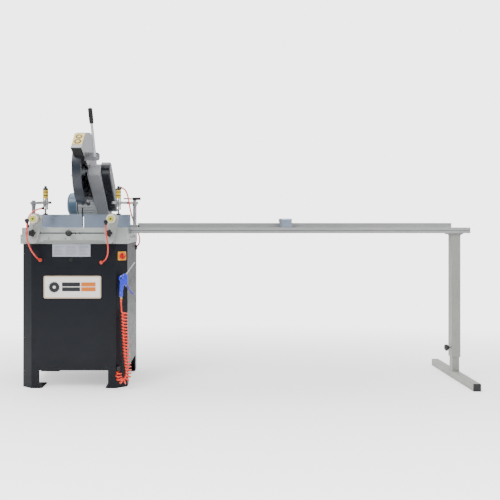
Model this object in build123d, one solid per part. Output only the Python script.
from build123d import *
import math
import os

# Pull-down mitre saw on a cabinet, with pneumatic clamps and a length-stop rail. Millimetres.
# Working frame: x = 0 is the blade's plane, y = 0 the fence's face (+Y is the back), z = 0 the floor.
# At the end everything is moved so that the machine's box, without its hoses, stands centred on the origin.

RUN = 0.05  # radial running clearance of a shaft in its hole
GAP = 0.4  # clearance between pieces that slide past each other

# cabinet
CABINET_X = 286
CABINET_FRONT = -240
CABINET_BACK = 245
CABINET_TOP = 782
FACET_X = 57
FACET_Y = 40
SHEET = 3
FOOT_ARCH = 97
ARCH_X = 186
ARCH_Y = 150
FLOOR_BOLT_X = 215
FLOOR_BOLT_Y = 180
FLOOR_BOLT_R = 6

# table
BASE_TOP = 833
BASE_X = 289
TABLE_TOP = 870
TABLE_BACK = 30
DISC_R = 214
DISC_TOP = TABLE_TOP - 0.5
CENTRE_PIN_R = 18
REAR_ARM_X = (30, 120)
REAR_ARM_END = 367
FENCE_X = 275
FENCE_TOP = 945
FENCE_THICK = 15

# front rail
RAIL_LEFT = -268
RAIL_FRONT = -258
RAIL_BACK = -240
RAIL_LOW = 795
SLOT_Z = 841
SLOT_W = 7
SLOT_X = (-256, 216)
INDEX_X = -16

# saw head, raised
PIVOT = (317.0, 962.0)
ARM_ANGLE = 141.5
SPINDLE_REACH = 390
MOTOR_REACH = 80
BLADE_R = 200
BLADE_HALF = 1.6
HOOD_R = 216
HOOD_WALL = 4
HOOD_X = (-26, 40)
NOSE_X = (-10, 48)
NOSE = [(-276, 1300), (-250, 1317), (-170, 1392), (-72, 1411), (40, 1374)]
NOSE_ROOM = [(-268, 1301), (-248, 1312), (-168, 1387), (-72, 1406), (34, 1371)]
GUARD_X = (-21.5, 28)
GUARD_R = 209
GUARD_WALL = 4
GUARD_SPAN = (150, 288)
MOTOR_R = 72
MOTOR_X = (-140, 40)
COWL_X = -80
SHAFT_R = 12
ARM_X = (40, 110)
COVER_X = (110, 160)
COVER_R = 45
HANDLE_FOOT = (105, -181, 1262)
HANDLE_TIP = (105, -324, 1502)

# clamps
CLAMP_X = {"left": -213, "right": 197}
CYLINDER_OFFSET = 17
BRACKET_R = 27
CLAMP_Z = 917
CLAMP_R = 25
BORE_R = 20
POST_X = {"left": -287, "right": 301}
POST_R = 10.5
POST_TOP = 1027
HOLD_BAR_Z = 1012
HOLD_DOWN = {"left": (-204, -50), "right": (214, -50)}
BAR_OVERHANG = 38
HOLD_R = 14.5
HOLD_BORE_R = 11

# length rail and its stand
BEAM_X = (280, 2234)
BEAM_Y = (-45, 8)
BEAM_LOW = 837
STRIP_X = (320, 2143)
STRIP_TOP = 896
STRIP_THICK = 6
STOP_X = (1150, 1210)
STAND_X = 2158
STAND_Y = -5
TUBE_OUTER = 50
TUBE_INNER = 40
STAND_TUBE_LOW = 122
FOOT_LENGTH = 600
STAND_KNOB_Z = 173

# blow gun and hoses
GUN_Y = -262
HOSE = 8
COIL_OD = 36
LEVER_PIVOT = (286, 560)
PEG = (261, 601.3)
WALL_HOLES = [(-180, 695), (150, 682)]

ELBOW = {"left": (-228, -323, 908), "right": (189, -323, 901)}
PORT = {"left": (-221, -67, 979), "right": (232, -50, 1097)}
PORT_ROOT = {"left": 983.25, "right": 1102.4}
LEFT_CLAMP_HOSE = [
    (-228, -323, 893), (-228, -323, 863), (-229, -324, 830), (-224, -322, 794), (-213, -314, 759),
    (-199, -299, 729), (-187, -279, 708), (-181, -258, 697), (-180, -238, 695),
]
RIGHT_CLAMP_HOSE = [
    (189, -323, 886), (189, -323, 858), (192, -325, 827), (198, -326, 793), (200, -322, 758),
    (196, -311, 727), (185, -295, 704), (169, -276, 690), (157, -257, 684), (150, -238, 682),
]
LEFT_HOLD_HOSE = [
    (-221, -67, 979), (-235, -81, 975.5), (-248, -100, 968), (-257, -124, 957), (-262, -150, 944),
    (-264, -176, 930), (-262, -196, 911), (-262, -196, 888),
]
RIGHT_HOLD_HOSE = [
    (232, -50, 1097), (247, -50, 1092.5), (260, -49, 1074), (268, -46, 1047), (272, -40, 1018),
    (276, -30, 989), (280, -15, 961), (284, 4, 936), (290, 24, 911), (298, 42, 884), (307, 60, 857),
    (315, 80, 830), (318, 104, 804), (315, 129, 783), (306, 150, 766), (296, 165, 754),
    (284, 174, 748),
]
GUN_LEAD = [(260, -262, 486), (260, -262, 462), (262, -263, 440), (262, -263, 417)]
COIL_PATH = [
    (277, -262, 417), (279, -262, 335), (284, -262, 250), (291, -262, 168), (299, -262, 108),
    (300, -262, 78), (290, -262, 51), (271, -262, 41), (253, -262, 51), (246, -262, 75),
    (246, -262, 101),
]
COUPLING = COIL_PATH[-1]

CORDS = [
    "left_clamp_hose",
    "right_clamp_hose",
    "left_holddown_hose",
    "right_holddown_hose",
    "gun_hose_lead",
    "gun_coil_hose",
]

parts = {}


def group(*shapes):
    """Separate solids of one sub-part."""
    return Compound([solid for shape in shapes for solid in shape.solids()])


def block(x, y, z):
    """A box between two limits on each axis."""
    size = Box(x[1] - x[0], y[1] - y[0], z[1] - z[0])
    return Pos(sum(x) / 2, sum(y) / 2, sum(z) / 2) * size


def bar(start, end, radius):
    """A round bar from one point to another."""
    start, end = Vector(*start), Vector(*end)
    run = end - start
    low = (Align.CENTER, Align.CENTER, Align.MIN)
    return Plane(origin=start, z_dir=run) * Cylinder(radius, run.length, align=low)


def ring(start, end, outer, inner):
    """A round tube from one point to another."""
    return bar(start, end, outer) - bar(start, end, inner)


def side(outline, x):
    """An outline of (y, z) points, drawn out between two x limits."""
    face = make_face(Polyline(*[(y, z) for y, z in outline], close=True))
    return extrude(Plane.YZ.offset(x[0]) * face, amount=x[1] - x[0])


def stadium(first, second, r_first, r_second, x):
    """Two circles in (y, z) and their common tangents, drawn out between two x limits."""
    circles = [
        Pos(first[0], first[1]) * Edge.make_circle(r_first),
        Pos(second[0], second[1]) * Edge.make_circle(r_second),
    ]
    return extrude(Plane.YZ.offset(x[0]) * make_hull(circles), amount=x[1] - x[0])


def plan(outline, z):
    """An outline of (x, y) points, drawn up between two heights."""
    face = make_face(Polyline(*outline, close=True))
    return extrude(Plane.XY.offset(z[0]) * face, amount=z[1] - z[0])


def head_point(along, up, turn=0):
    """A (y, z) point of the saw head: along the arm from the pivot, and square to it."""
    a = math.radians(ARM_ANGLE + turn)
    y = PIVOT[0] + along * math.cos(a) + up * math.sin(a)
    z = PIVOT[1] + along * math.sin(a) - up * math.cos(a)
    return (y, z)


def around(centre, radius, angle):
    """A (y, z) point at an angle from +Y towards +Z about a centre."""
    a = math.radians(angle)
    return (centre[0] + radius * math.cos(a), centre[1] + radius * math.sin(a))


SPINDLE = head_point(SPINDLE_REACH, 0)
MOTOR = head_point(MOTOR_REACH, 0)


def star_knob(centre, radius, depth, direction=-1):
    """A five-lobed knob with a collar, whose face looks along Y (direction -1 is the front)."""
    x, y, z = centre
    tip = y + direction * depth
    knob = bar((x, y, z), (x, tip, z), radius * 0.78)
    for lobe in range(5):
        a = math.radians(90 + 72 * lobe)
        lx, lz = x + 0.66 * radius * math.cos(a), z + 0.66 * radius * math.sin(a)
        knob += bar((lx, y, lz), (lx, tip, lz), radius * 0.34)
    return knob


# ---------------------------------------------------------------- cabinet


def footprint(inset):
    """The cabinet's plan: a rectangle with its four upright corners cut off."""
    x, front, back = CABINET_X - inset, CABINET_FRONT + inset, CABINET_BACK - inset
    cut = 0.42 * inset
    fx, fy = FACET_X - cut, FACET_Y - cut
    return [
        (-x + fx, front),
        (x - fx, front),
        (x, front + fy),
        (x, back - fy),
        (x - fx, back),
        (-x + fx, back),
        (-x, back - fy),
        (-x, front + fy),
    ]


def make_cabinet():
    shell = plan(footprint(0), (0, CABINET_TOP)) - plan(
        footprint(SHEET), (-1, CABINET_TOP - SHEET)
    )
    for x, y in (((-ARCH_X, ARCH_X), (-300, 300)), ((-300, 300), (-ARCH_Y, ARCH_Y))):
        shell -= block(x, y, (-1, FOOT_ARCH))
    inside = footprint(SHEET)
    shell += plan(inside, (FOOT_ARCH, FOOT_ARCH + SHEET))
    toes = plan(inside, (0, 6))
    corners = None
    for sx in (-1, 1):
        for sy in (-1, 1):
            x = sorted((sx * (ARCH_X - 14), sx * 300))
            y = sorted((sy * (ARCH_Y - 14), sy * 300))
            corner = block(x, y, (-1, 7))
            corners = corner if corners is None else corners + corner
    toes = toes & corners
    for sx in (-1, 1):
        for sy in (-1, 1):
            x, y = sx * FLOOR_BOLT_X, sy * FLOOR_BOLT_Y
            toes -= bar((x, y, -1), (x, y, 7), FLOOR_BOLT_R)
    for x, z in WALL_HOLES:
        shell -= bar((x, -250, z), (x, -230, z), 7.5)
    x, y, z = RIGHT_HOLD_HOSE[-1]
    shell -= bar((x - 10, y, z), (x + 10, y, z), 9.5)
    parts["cabinet_shell"] = shell + toes

    face = CABINET_FRONT
    data_plate = block((-115, 91), (face - 1.5, face), (713, 781))
    badge = block((-162, 149), (face - 2.5, face), (487, 609))
    badge = fillet(badge.edges().filter_by(Axis.Y), 9)
    parts["front_plates"] = group(data_plate, badge)

    latch = bar((-15, face, 695), (-15, face - 3, 695), 10)
    latch += block((-17, -13), (face - 6, face - 3), (687, 703))
    parts["door_latch"] = latch


def make_switch():
    mid = Vector(CABINET_X - FACET_X / 2, CABINET_FRONT + FACET_Y / 2, 716)
    normal = Vector(FACET_Y, -FACET_X, 0).normalized()
    facet = Plane(origin=mid, x_dir=(0, 0, 1), z_dir=normal)
    plate = extrude(facet * RectangleRounded(48, 48, 4), amount=5)
    plate += extrude(facet.offset(5) * Circle(20), amount=2)
    parts["switch_plate"] = plate
    knob = extrude(facet.offset(7 + GAP) * Circle(16), amount=9)
    knob += extrude(facet.offset(16 + GAP) * Rectangle(30, 9), amount=11)
    parts["switch_knob"] = knob


# ---------------------------------------------------------------- table


def make_table():
    base = plan(
        [(-BASE_X, -240), (BASE_X, -240), (BASE_X, 215), (240, 250), (-240, 250), (-BASE_X, 215)],
        (CABINET_TOP, BASE_TOP),
    )
    base -= bar((0, 0, 795), (0, 0, 840), CENTRE_PIN_R + RUN)
    hollow = plan(
        [(-268, -224), (268, -224), (268, 200), (230, 234), (-230, 234), (-268, 200)],
        (CABINET_TOP - 1, BASE_TOP - 12),
    )
    base -= hollow - bar((0, 0, 780), (0, 0, 840), 2 * CENTRE_PIN_R)
    for x in ((-300, 6 - BASE_X), (BASE_X - 6, 300)):
        base -= block(x, (-140, 130), (812, 824))
    parts["base_casting"] = base

    half = block((0, 280), (CABINET_FRONT, TABLE_BACK), (BASE_TOP, TABLE_TOP))
    half -= bar((0, 0, 800), (0, 0, 900), DISC_R + 3)
    other = mirror(half, Plane.YZ)
    slabs = half.solids() + other.solids()
    parts["table_sides"] = Compound([s for s in slabs if s.volume > 1000])

    fence = plan(
        [(5, 0), (FENCE_X, 0), (FENCE_X, FENCE_THICK), (5 + FENCE_THICK, FENCE_THICK)],
        (TABLE_TOP, FENCE_TOP),
    )
    fence += block((230, FENCE_X), (FENCE_THICK, 28), (TABLE_TOP, TABLE_TOP + 12))
    parts["fence"] = group(fence, mirror(fence, Plane.YZ))


def make_rail():
    rail = block((RAIL_LEFT, 217), (RAIL_FRONT, RAIL_BACK), (RAIL_LOW, TABLE_TOP))
    half = SLOT_W / 2
    rail -= block(SLOT_X, (-260, -249), (SLOT_Z - half, SLOT_Z + half))
    rail -= block(SLOT_X, (-250, -239), (SLOT_Z - 8, SLOT_Z + 8))
    rail -= block((-158, 182), (-260, -250), (RAIL_LOW - 1, RAIL_LOW + 7))
    end = block((217, 293), (RAIL_FRONT, RAIL_BACK), (CABINET_TOP + 2, TABLE_TOP))
    end = fillet(end.edges().filter_by(Axis.Y), 4)
    screw = bar((RAIL_LEFT, -249, 815), (RAIL_LEFT - 8, -249, 815), 5)
    parts["front_rail"] = group(rail + screw, end)

    plunger = bar((INDEX_X, -275, SLOT_Z), (INDEX_X, -244, SLOT_Z), 3.2)
    ball = Pos(INDEX_X, -288, SLOT_Z) * Sphere(17.5)
    collar = bar((INDEX_X, -275, SLOT_Z), (INDEX_X, RAIL_FRONT - 2, SLOT_Z), 6)
    parts["index_knob"] = ball + collar + plunger


def make_turntable():
    disc = bar((0, 0, BASE_TOP + 2), (0, 0, DISC_TOP), DISC_R)
    disc += block(REAR_ARM_X, (0, REAR_ARM_END), (BASE_TOP + 2, DISC_TOP))
    disc -= block((-30, 30), (-190, 70), (DISC_TOP - 6, DISC_TOP + 1))
    disc -= block((-8, 8), (-180, 60), (BASE_TOP, DISC_TOP))
    pocket = ring((0, 0, BASE_TOP), (0, 0, DISC_TOP - 13), DISC_R - 16, 48)
    disc -= pocket - block((-18, 18), (-300, 300), (BASE_TOP - 1, TABLE_TOP))
    disc += bar((0, 0, 802), (0, 0, BASE_TOP + 2.5), CENTRE_PIN_R)
    parts["turntable"] = disc
    kerf = block((-30, 30), (-190, 70), (DISC_TOP - 6, DISC_TOP))
    parts["kerf_plate"] = kerf - block((-3, 3), (-172, 50), (800, 900))

    base_y = (270, 360)
    foot = [(base_y[0], DISC_TOP), (base_y[1], DISC_TOP)]
    post = side(foot + [(345, PIVOT[1]), (289, PIVOT[1])], (58, 92))
    post += bar((58, *PIVOT), (92, *PIVOT), 34)
    post += block((50, 100), base_y, (DISC_TOP, DISC_TOP + 14))
    post -= bar((50, *PIVOT), (100, *PIVOT), SHAFT_R)
    post -= bar((63, *PIVOT), (87, *PIVOT), 25)
    parts["pivot_bracket"] = post
    parts["pivot_shaft"] = bar((41, *PIVOT), (109, *PIVOT), SHAFT_R)
    coils = [
        Pos(67 + 5.2 * n, *PIVOT) * Rot(0, 90, 0) * Torus(19, 2.3) for n in range(4)
    ]
    parts["return_spring"] = group(*coils)


# ---------------------------------------------------------------- saw head


def arc_points(centre, radius, first, last, count):
    step = (last - first) / (count - 1)
    return [around(centre, radius, first + step * n) for n in range(count)]


def make_arm():
    front = SPINDLE_REACH + 42
    web = [(-30, -42), (45, -52), (front, -83), (front, 6), (-30, 34)]
    arm = side([head_point(*p) for p in web], ARM_X)
    rib = [(150, 6), (front, 6), (front, 32), (190, 32)]
    arm += side([head_point(*p) for p in rib], (ARM_X[0], 75))
    arm += bar((ARM_X[0], *PIVOT), (ARM_X[1], *PIVOT), 42)
    slot = [(-60, -80), (47, -80), (47, 60), (-60, 60)]
    arm -= side([head_point(*p) for p in slot], (57, 93))
    arm -= bar((30, *PIVOT), (120, *PIVOT), SHAFT_R + RUN)
    arm -= bar((30, *MOTOR), (120, *MOTOR), 10 + RUN)
    arm -= bar((30, *SPINDLE), (120, *SPINDLE), SHAFT_R + RUN)
    parts["swing_arm"] = arm


def make_hood():
    """The upper guard: half a drum over the blade, with a box at its front for the chips."""
    lower = SPINDLE_REACH
    disc = bar((HOOD_X[0], *SPINDLE), (HOOD_X[1], *SPINDLE), HOOD_R)
    half = [(lower - 300, -25), (lower + 300, -25), (lower + 300, 300), (lower - 300, 300)]
    outer = disc & side([head_point(*p) for p in half], HOOD_X)
    outer += side(NOSE + [(20, 1240), (-103, 1223)], NOSE_X)
    inner_x = (HOOD_X[0] + 3, HOOD_X[1] - 3)
    room = bar((inner_x[0], *SPINDLE), (inner_x[1], *SPINDLE), HOOD_R - HOOD_WALL)
    room += side(NOSE_ROOM + [(20, 1244), (-103, 1228)], (NOSE_X[0] + 3, NOSE_X[1] - 3))
    hood = outer - room
    hood -= bar((30, *SPINDLE), (41, *SPINDLE), 22)
    hood += bar((HOOD_X[0], *SPINDLE), (inner_x[0], *SPINDLE), 45)
    hood += bar((inner_x[0] - 1, *SPINDLE), (GUARD_X[0] + 3, *SPINDLE), 20)
    hood -= bar((-40, *SPINDLE), (-10, *SPINDLE), 17)
    parts["blade_hood"] = hood - parts["swing_arm"]


def make_guard():
    """The lower guard: a dished sector that turns on the hood's boss."""
    low, high = GUARD_X
    inner = GUARD_R - GUARD_WALL
    wedge = [SPINDLE] + arc_points(SPINDLE, 400, *GUARD_SPAN, 7)
    rim = bar((low, *SPINDLE), (high, *SPINDLE), GUARD_R)
    rim -= bar((low + 2, *SPINDLE), (high - 2, *SPINDLE), inner)
    rim -= bar((high - 8, *SPINDLE), (high + 2, *SPINDLE), inner - 16)
    guard = rim & side(wedge, (low - 2, high + 2))
    guard += bar((low, *SPINDLE), (low + 2, *SPINDLE), 34)
    guard -= bar((low - 4, *SPINDLE), (low + 4, *SPINDLE), 20.3)
    parts["lower_guard"] = guard


def make_blade():
    teeth = 48
    outline = []
    for tooth in range(teeth):
        start = 360 / teeth * tooth
        outline.append(around(SPINDLE, BLADE_R - 9, start + 1.2))
        outline.append(around(SPINDLE, BLADE_R - 1.5, start + 6.2))
        outline.append(around(SPINDLE, BLADE_R, start + 7.4))
    blade = side(outline, (-BLADE_HALF, BLADE_HALF))
    blade -= bar((-5, *SPINDLE), (5, *SPINDLE), SHAFT_R)
    parts["saw_blade"] = blade

    shaft = bar((-13.5, *SPINDLE), (146, *SPINDLE), SHAFT_R)
    shaft += bar((BLADE_HALF, *SPINDLE), (12, *SPINDLE), 32)
    shaft += bar((12, *SPINDLE), (38, *SPINDLE), 18)
    shaft += pulley(SPINDLE, 34)
    clamp = ring((-6, *SPINDLE), (-BLADE_HALF, *SPINDLE), 32, SHAFT_R)
    hexagon = Plane.YZ.offset(-13.5) * Pos(*SPINDLE) * RegularPolygon(15, 6)
    nut = extrude(hexagon, amount=7.5) - bar((-20, *SPINDLE), (0, *SPINDLE), SHAFT_R)
    parts["blade_spindle"] = group(shaft, clamp, nut)


def pulley(centre, radius):
    wheel = bar((118, *centre), (142, *centre), radius)
    for x in (118, 139):
        wheel += bar((x, *centre), (x + 3, *centre), radius + 4)
    return wheel


def make_drive():
    parts["motor_pulley"] = bar((42, *MOTOR), (146, *MOTOR), 10) + pulley(MOTOR, 30)
    belt = stadium(SPINDLE, MOTOR, 38, 34, (122, 138))
    belt -= stadium(SPINDLE, MOTOR, 34.4, 30.4, (120, 140))
    parts["drive_belt"] = belt

    cover = stadium(SPINDLE, MOTOR, COVER_R, COVER_R, COVER_X)
    cover = fillet(cover.faces().sort_by(Axis.X)[-1].edges(), 5)
    room = stadium(SPINDLE, MOTOR, COVER_R - 2.5, COVER_R - 2.5, (109, 157))
    parts["belt_cover"] = cover - room

    body = bar((COWL_X, *MOTOR), (MOTOR_X[1], *MOTOR), MOTOR_R)
    body -= ring((COWL_X + 4, *MOTOR), (COWL_X + 10, *MOTOR), MOTOR_R + 1, MOTOR_R - 4)
    body -= bar((39, *MOTOR), (41, *MOTOR), 14)
    parts["motor_body"] = body
    cowl = bar((MOTOR_X[0], *MOTOR), (COWL_X, *MOTOR), MOTOR_R)
    cowl = fillet(cowl.faces().sort_by(Axis.X)[0].edges(), 22)
    parts["motor_cowl"] = cowl


def make_handle():
    lug = block((NOSE_X[1], 130), (-187, -175), (1240, 1284))
    lug = fillet(lug.edges().filter_by(Axis.Y).sort_by(Axis.X)[-2:], 14)
    lug -= bar((118, -190, 1262), (118, -170, 1262), 4)
    foot, tip = Vector(*HANDLE_FOOT), Vector(*HANDLE_TIP)
    aim = (tip - foot).normalized()
    rod = bar(tuple(foot), tuple(tip - aim * 2), 7)
    parts["handle_lever"] = lug + rod
    grip = bar(tuple(tip - aim * 84), tuple(tip), 12)
    grip = fillet(grip.edges().filter_by(GeomType.CIRCLE), 4)
    parts["handle_grip"] = grip - rod


# ---------------------------------------------------------------- clamps


def make_front_clamp(name):
    x = CLAMP_X[name]
    cx = x + CYLINDER_OFFSET
    back, front = RAIL_FRONT - GAP, -272
    circles = [
        Pos(x, 812) * Edge.make_circle(BRACKET_R),
        Pos(cx, CLAMP_Z) * Edge.make_circle(BRACKET_R + 4),
    ]
    outline = Plane(origin=(0, back, 0), x_dir=(1, 0, 0), z_dir=(0, -1, 0))
    plate = extrude(outline * make_hull(circles), amount=back - front)
    plate -= bar((cx, -280, CLAMP_Z), (cx, -250, CLAMP_Z), CLAMP_R)
    stud = bar((x, front, SLOT_Z), (x, -248, SLOT_Z), 3)
    nut = block((x - 6, x + 6), (-248, -242), (SLOT_Z - 7, SLOT_Z + 7))
    parts[f"{name}_clamp_bracket"] = plate + stud + nut

    def axis(y):
        return (cx, y, CLAMP_Z)

    body = ring(axis(-316), axis(-212), CLAMP_R, BORE_R)
    nose = ring(axis(-212), axis(-202), 22, 8 + RUN)
    rear = bar(axis(-330), axis(-316), CLAMP_R - 1)
    rear = fillet(rear.edges().filter_by(GeomType.CIRCLE).sort_by(Axis.Y)[0], 4)
    ex, ey, ez = ELBOW[name]
    elbow = bar((ex, ey - 9, ez), (ex, ey + 9, ez), 11)
    elbow += bar((ex, ey, ez), (ex, ey, ez - 15), 6.5)
    elbow -= bar(axis(-340), axis(-300), CLAMP_R)
    parts[f"{name}_clamp_cylinder"] = group(body, nose, rear, elbow)

    rod = bar(axis(-300), axis(-190), 8) + bar(axis(-312), axis(-300), BORE_R - RUN)
    pad = bar(axis(-190), axis(-184), 14)
    parts[f"{name}_clamp_rod"] = rod + pad
    parts[f"{name}_clamp_knob"] = star_knob((x, front - GAP, SLOT_Z), 21, 20)


def make_hold_down(name):
    sx = -1 if name == "left" else 1
    px = POST_X[name]
    cx, cy = HOLD_DOWN[name]
    low, high = HOLD_BAR_Z - 7, HOLD_BAR_Z + 7
    along = Vector(cx - px, cy, 0).normalized()
    square = Vector(-along.Y, along.X, 0) * 9
    start = Vector(px, 0, 0) - along * 18
    end = Vector(cx, cy, 0) + along * BAR_OVERHANG
    corners = [start + square, end + square, end - square, start - square]
    arm = plan([(p.X, p.Y) for p in corners], (low, high))
    for x, y, radius in ((px, 0, 17), (cx, cy, 19)):
        arm += bar((x, y, low), (x, y, high), radius)
    arm -= bar((px, 0, low - 1), (px, 0, high + 1), POST_R + RUN)
    arm -= bar((cx, cy, low - 1), (cx, cy, high + 1), HOLD_R)
    parts[f"{name}_holddown_arm"] = arm

    bottom, top = 972, 1088
    tube = ring((cx, cy, bottom + 8), (cx, cy, top), HOLD_R, HOLD_BORE_R)
    tube += ring((cx, cy, bottom), (cx, cy, bottom + 8), HOLD_R, 5 + RUN)
    tube += bar((cx, cy, top), (cx, cy, top + 8), HOLD_R)
    tube += bar((cx, cy, top + 8), (cx, cy, top + 20), 7)
    px, py, pz = PORT[name]
    port = bar((cx, cy, PORT_ROOT[name]), (px, py, pz), 5.5)
    tube += port - bar((cx, cy, bottom), (cx, cy, top), HOLD_BORE_R + 1)
    parts[f"{name}_holddown_cylinder"] = tube

    rod = bar((cx, cy, 947), (cx, cy, 1058), 5)
    rod += bar((cx, cy, 1058), (cx, cy, 1068), HOLD_BORE_R - RUN)
    rod += bar((cx, cy, 941), (cx, cy, 950), 13.5)
    parts[f"{name}_holddown_rod"] = rod


def make_posts():
    posts = []
    for x in POST_X.values():
        post = bar((x, 0, TABLE_TOP), (x, 0, POST_TOP), POST_R)
        inner, outer = 276.5, abs(x) + 16
        base = (inner, outer) if x > 0 else (-outer, -inner)
        post += block(base, (-22, 22), (TABLE_TOP, TABLE_TOP + 16))
        if x < 0:
            post += block((-outer, -280), (-22, 22), (BASE_TOP + 2, TABLE_TOP))
        posts.append(post)
    parts["clamp_posts"] = group(*posts)

    x, low = POST_X["right"], POST_TOP + GAP
    lever = bar((x, 0, low), (x, 0, low + 14), 10)
    lever += bar((x, 0, low + 8), (x - 62, -16, low + 10), 3.5)
    grip = bar((x - 12, -3, low + 9), (x + 34, 5, low + 10), 8)
    parts["holddown_lever"] = lever + grip


# ---------------------------------------------------------------- length rail


def make_length_rail():
    beam = block(BEAM_X, BEAM_Y, (BEAM_LOW, TABLE_TOP))
    inner_x, inner_y = (BEAM_X[0] + 4, BEAM_X[1] - 4), (BEAM_Y[0] + 4, BEAM_Y[1] - 4)
    beam -= block(inner_x, inner_y, (BEAM_LOW + 4, TABLE_TOP - 4))
    parts["length_rail"] = beam
    parts["rail_fence"] = block(STRIP_X, (0, STRIP_THICK), (TABLE_TOP, STRIP_TOP))

    low, top = TABLE_TOP + GAP, 922
    carriage = block(STOP_X, (-40, 24), (low, top))
    carriage -= block((1100, 1300), (-GAP, STRIP_THICK + GAP), (800, STRIP_TOP + GAP))
    carriage = chamfer(carriage.edges().filter_by(Axis.X).group_by(Axis.Z)[-1], 6)
    carriage += bar((1180, 24, 897), (1180, 40, 897), 9)
    carriage += bar((1140, 14, 911), (1150, 14, 911), 5)
    parts["stop_carriage"] = carriage
    flap = block((1140.4, 1149.6), (-43, -2), (low + 1, 916))
    flap += block((1140.4, 1149.6), (-2, 24), (902, 920))
    flap -= bar((1130, 14, 911), (1160, 14, 911), 5 + RUN)
    parts["stop_flap"] = flap


def make_stand():
    half, inner = TUBE_OUTER / 2, TUBE_INNER / 2
    x, y = STAND_X, STAND_Y
    plate = block((2107, 2197), (y - 30, 8), (BEAM_LOW - 6, BEAM_LOW))
    z = (STAND_TUBE_LOW, BEAM_LOW - 6)
    tube = block((x - half, x + half), (y - half, y + half), z)
    tube -= block((x - inner - 1, x + inner + 1), (y - inner - 1, y + inner + 1), (0, 825))
    tube -= bar((x - 40, y, STAND_KNOB_Z), (x, y, STAND_KNOB_Z), 4.3)
    parts["stand_tube"] = tube + plate

    leg = block((x - inner, x + inner), (y - inner, y + inner), (40, 600))
    leg -= block((x - inner + 3, x + inner - 3), (y - inner + 3, y + inner - 3), (44, 601))
    ends = FOOT_LENGTH / 2
    foot = block((x - inner, x + inner), (y - ends + 6, y + ends - 6), (0, 40))
    foot -= block((x - inner + 3, x + inner - 3), (y - ends, y + ends), (3, 37))
    parts["stand_leg"] = leg + foot
    caps = []
    for end in (-1, 1):
        far, near = y + end * ends, y + end * (ends - 6)
        caps.append(block((x - inner, x + inner), sorted((far, near)), (0, 40)))
    parts["foot_caps"] = group(*caps)

    at = (x - half - 8, y, STAND_KNOB_Z)
    knob = Pos(*at) * Rot(0, 0, 90) * star_knob((0, 0, 0), 20, 22, 1)
    knob += bar((at[0], y, STAND_KNOB_Z), (x - inner - 0.8, y, STAND_KNOB_Z), 4)
    parts["stand_knob"] = knob


# ---------------------------------------------------------------- blow gun and hoses


def gun_plate(outline, half):
    """An outline of (x, z) points, drawn out to both sides of the gun's middle plane."""
    plane = Plane.XZ.offset(-GUN_Y - half)
    return extrude(plane * make_face(Polyline(*outline, close=True)), amount=2 * half)


def make_gun():
    back = [(251, 498), (253, 562), (255, 584), (248, 594), (249, 607), (262, 614), (278, 624)]
    front = [(290, 622), (295, 612), (297, 571), (289, 561), (280, 563), (272, 552), (269, 498)]
    body = gun_plate(back + front, 10)
    body = chamfer(body.edges().filter_by(Plane.XZ), 2.5)
    px, pz = PEG
    body -= bar((px, GUN_Y - 20, pz), (px, GUN_Y + 20, pz), 5.5)
    lx, lz = LEVER_PIVOT
    body -= bar((lx, GUN_Y - 8, lz), (lx, GUN_Y + 8, lz), 14)
    nozzle = bar((283, GUN_Y, 614), (334, GUN_Y, 684), 3) - body
    inlet = bar((260, GUN_Y, 498), (260, GUN_Y, 486), 6)
    parts["gun_body"] = group(body, nozzle, inlet)

    outer = [(284, 566), (297, 561), (313, 535), (331, 513)]
    inner = [(326, 508), (306, 527), (290, 551), (282, 554)]
    parts["gun_lever"] = gun_plate(outer + inner, 7)


def facet_y(x):
    """Where the cabinet's right front facet is, at a given x."""
    return CABINET_FRONT + (x - CABINET_X + FACET_X) * FACET_Y / FACET_X


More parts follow.
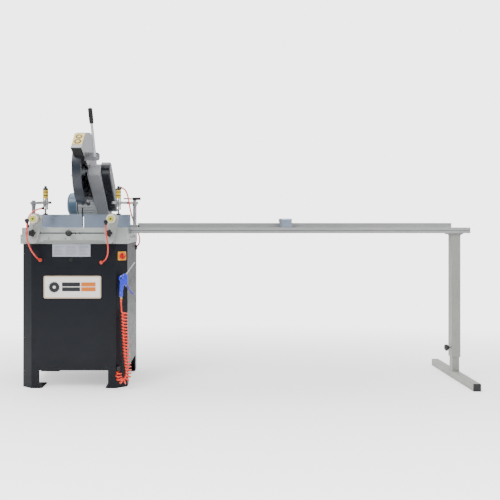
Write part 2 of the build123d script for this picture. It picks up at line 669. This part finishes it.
def make_wall_fittings():
    """Bushings in the cabinet's walls, the gun's peg, and the coupling of its hose."""
    pieces = []
    for x, z in WALL_HOLES:
        pieces.append(ring((x, CABINET_FRONT - 4, z), (x, CABINET_FRONT, z), 12, 7.5))
    x, y, z = RIGHT_HOLD_HOSE[-1]
    pieces.append(ring((CABINET_X, y, z), (CABINET_X + 4, y, z), 15, 11))
    x, z = PEG
    peg = bar((x, facet_y(x) + 6, z), (x, GUN_Y - 14, z), 4) - parts["cabinet_shell"]
    outside = max(peg.solids(), key=lambda piece: piece.volume)
    pieces.append(outside + Pos(x, GUN_Y - 16, z) * Sphere(4.6))
    x, y, z = COUPLING
    stub = bar((x, facet_y(x) + 6, z + 16), (x, y, z + 16), 7) - parts["cabinet_shell"]
    stub = max(stub.solids(), key=lambda piece: piece.volume)
    pieces.append(stub + bar((x, y, z), (x, y, z + 24), 8.5))
    x, y, z = LEFT_HOLD_HOSE[-1]
    pieces.append(bar((x, y, TABLE_TOP), (x, y, z), 7))
    parts["wall_fittings"] = group(*pieces)


def hose_path(points):
    """Straight runs joined by tangent arcs, each as large as its two runs allow."""
    nodes = [Vector(*p) for p in points]
    radii = []
    for before, here, after in zip(nodes, nodes[1:], nodes[2:]):
        first, second = here - before, after - here
        turn = math.radians(first.get_angle(second))
        radii.append(0.45 * min(first.length, second.length) / math.tan(turn / 2))
    return FilletPolyline(*nodes, radius=radii), radii


def hose(name, points, diameter=HOSE):
    path, radii = hose_path(points)
    start = Plane(origin=path @ 0, z_dir=path % 0)
    tube = sweep(start * Circle(diameter / 2), path=path)
    share = tube.volume / (path.length * math.pi * diameter**2 / 4)
    rounded = [round(r) for r in radii]
    print(name, "length", round(path.length), "radii", rounded, "volume ratio", round(share, 3))
    parts[name] = tube


def make_hoses():
    hose("left_clamp_hose", LEFT_CLAMP_HOSE)
    hose("right_clamp_hose", RIGHT_CLAMP_HOSE)
    hose("left_holddown_hose", LEFT_HOLD_HOSE)
    hose("right_holddown_hose", RIGHT_HOLD_HOSE)
    hose("gun_hose_lead", GUN_LEAD)
    hose("gun_coil_hose", COIL_PATH, COIL_OD)


def make_all():
    make_cabinet()
    make_switch()
    make_table()
    make_rail()
    make_turntable()
    make_arm()
    make_hood()
    make_guard()
    make_blade()
    make_drive()
    make_handle()
    for name in ("left", "right"):
        make_front_clamp(name)
        make_hold_down(name)
    make_posts()
    make_length_rail()
    make_stand()
    make_gun()
    make_wall_fittings()
    make_hoses()


make_all()
boxes = [shape.bounding_box() for name, shape in parts.items() if name not in CORDS]
LOW = [min(getattr(b.min, axis) for b in boxes) for axis in "XYZ"]
HIGH = [max(getattr(b.max, axis) for b in boxes) for axis in "XYZ"]
SHIFT = (-(LOW[0] + HIGH[0]) / 2, -(LOW[1] + HIGH[1]) / 2, -LOW[2])
print("box", LOW, HIGH, "shift", SHIFT)
os.makedirs("parts", exist_ok=True)
for name, shape in parts.items():
    export_step(Pos(*SHIFT) * shape, f"parts/{name}.step")
print(len(parts), "nodes")
